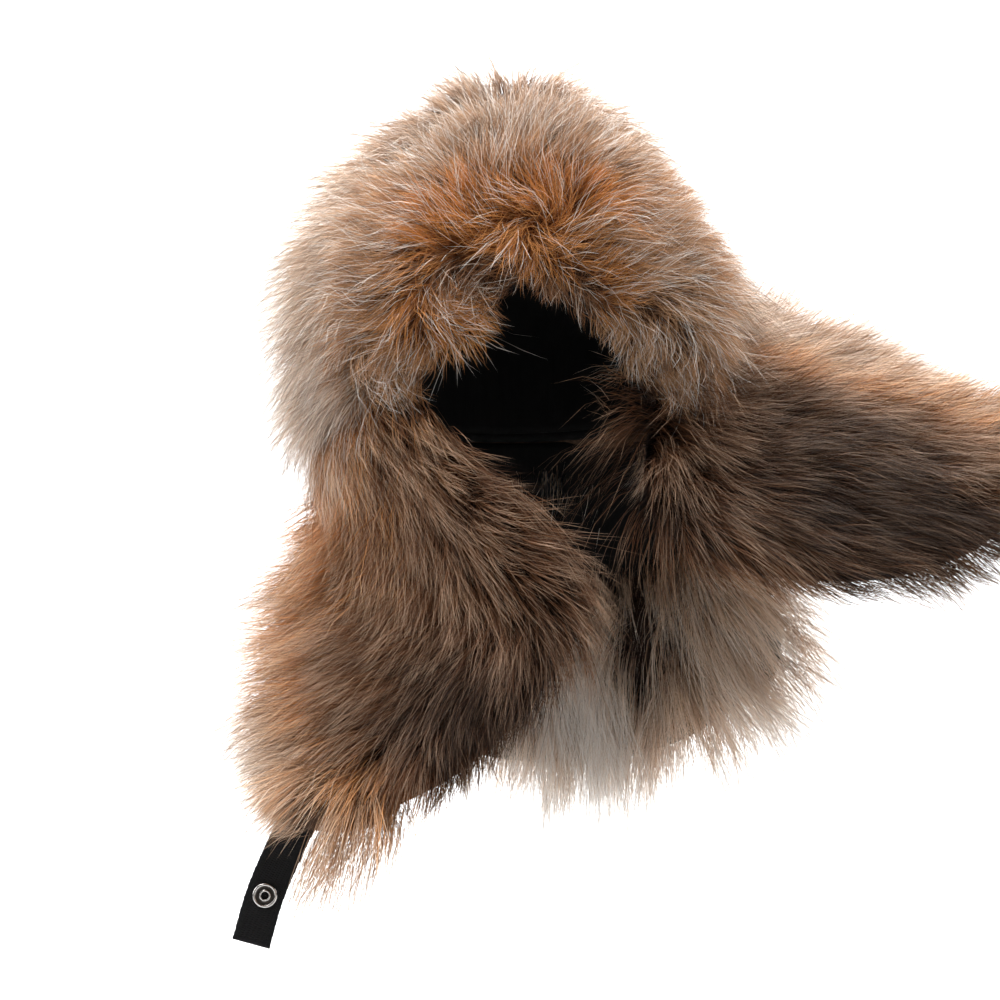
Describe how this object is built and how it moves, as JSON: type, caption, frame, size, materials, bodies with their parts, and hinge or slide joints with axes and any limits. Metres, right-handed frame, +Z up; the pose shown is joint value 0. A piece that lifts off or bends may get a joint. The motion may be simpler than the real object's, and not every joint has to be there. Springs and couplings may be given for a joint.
{
  "type": "fur aviator hat",
  "caption": "Deep-fur aviator hat with turned-up forehead flap, one ear flap hanging, one lifted out to the side, a pale fur neck flap and webbing snap straps",
  "frame": {"origin": "top of the hollow for the head, where the crown of the head sits", "axes": "+Z up, the face opening looks along -Y, the wearer's right is -X"},
  "size_m": [0.4931, 0.3131, 0.484],
  "materials": {
    "crown_fur": "deep grey-brown fur with pale and dark tips",
    "brow_fur": "deep orange-brown fur with pale tips",
    "flap_fur": "deep brown fur with pale tips",
    "neck_fur": "deep cream to white fur",
    "lining_cloth": "matte black cloth",
    "webbing": "matte black webbing",
    "snap_metal": "polished nickel"
  },
  "bodies": {
    "root": {"lining_cap": "lining_cloth", "crown_fur": "crown_fur", "forehead_flap_fur": "brow_fur", "ear_flap_fur_right": "flap_fur", "ear_flap_fur_left": "flap_fur", "neck_flap_fur": "neck_fur", "ear_flap_lining_right": "lining_cloth", "ear_flap_lining_left": "lining_cloth", "neck_flap_lining": "lining_cloth", "strap_right": "webbing", "strap_left": "webbing", "snap_right": "snap_metal", "snap_left": "snap_metal"}
  },
  "joints": []
}
